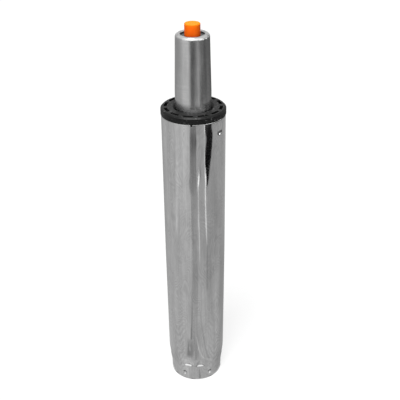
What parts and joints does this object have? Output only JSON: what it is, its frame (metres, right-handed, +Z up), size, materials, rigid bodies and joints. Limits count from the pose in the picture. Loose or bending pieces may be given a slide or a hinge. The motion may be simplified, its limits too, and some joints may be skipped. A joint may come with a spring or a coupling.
{
  "type": "chair gas lift cylinder",
  "caption": "Height-adjusting chair gas spring: chromed column with necked foot, slotted plastic guide flange, tapered lift tube and push-button release.",
  "frame": {"origin": "centre of the column's foot, in the plane of its lower edge", "axes": "+Z up the cylinder's axis towards the release button; -Y is the side that faces the picture's camera; +X to the right of it"},
  "size_m": [0.0508, 0.0506, 0.3203],
  "materials": {
    "chrome_column": "polished chrome plate",
    "sleeve_plastic": "moulded, slightly glossy",
    "satin_steel": "satin, finely ground",
    "orange_plastic": "moulded, semi-gloss",
    "plain_steel": "zinc plated",
    "bearing_steel": "hardened and ground",
    "cage_brass": "turned",
    "rubber": "matte",
    "rod_chrome": "hard chromed",
    "spring_steel": "oiled spring steel",
    "valve_metal": "turned",
    "guide_plastic": "moulded"
  },
  "bodies": {
    "column": {"column_tube": "chrome_column", "guide_sleeve": "sleeve_plastic", "base_plate": "plain_steel", "lower_race": "bearing_steel"},
    "cage": {"ball_cage": "cage_brass", "bearing_balls": "bearing_steel"},
    "rod": {"upper_race": "bearing_steel", "support_washer": "plain_steel", "bumper": "rubber", "piston_rod": "rod_chrome", "rod_washer": "plain_steel", "rod_clip": "spring_steel", "piston": "valve_metal", "piston_seal": "rubber", "piston_washer": "plain_steel"},
    "lift_tube": {"pressure_tube": "satin_steel", "end_washer": "plain_steel", "rod_seal": "rubber", "rod_guide": "guide_plastic", "guide_o_ring": "rubber", "inner_cylinder": "plain_steel", "valve_body": "valve_metal", "valve_o_ring": "rubber", "valve_seat": "cage_brass", "valve_spacer": "cage_brass", "pin_seals": "rubber", "valve_washer": "spring_steel"},
    "button": {"release_button": "orange_plastic", "valve_pin": "rod_chrome"}
  },
  "joints": [
    {"name": "swivel", "type": "hinge", "parent": "column", "child": "rod", "pos_m": [0, 0, 0.015], "axis": [0, 0, 1], "continuous": true},
    {"name": "bearing_orbit", "type": "hinge", "parent": "column", "child": "cage", "pos_m": [0, 0, 0.013], "axis": [0, 0, 1], "continuous": true},
    {"name": "lift", "type": "slide", "parent": "rod", "child": "lift_tube", "axis": [0, 0, 1], "range_m": [0, 0.14]},
    {"name": "release", "type": "slide", "parent": "lift_tube", "child": "button", "axis": [0, 0, -1], "range_m": [0, 0.003], "stiffness_N_per_m": 2000}
  ],
  "couplings": [
    {"joint": "bearing_orbit", "follows": "swivel", "ratio": 0.5}
  ]
}
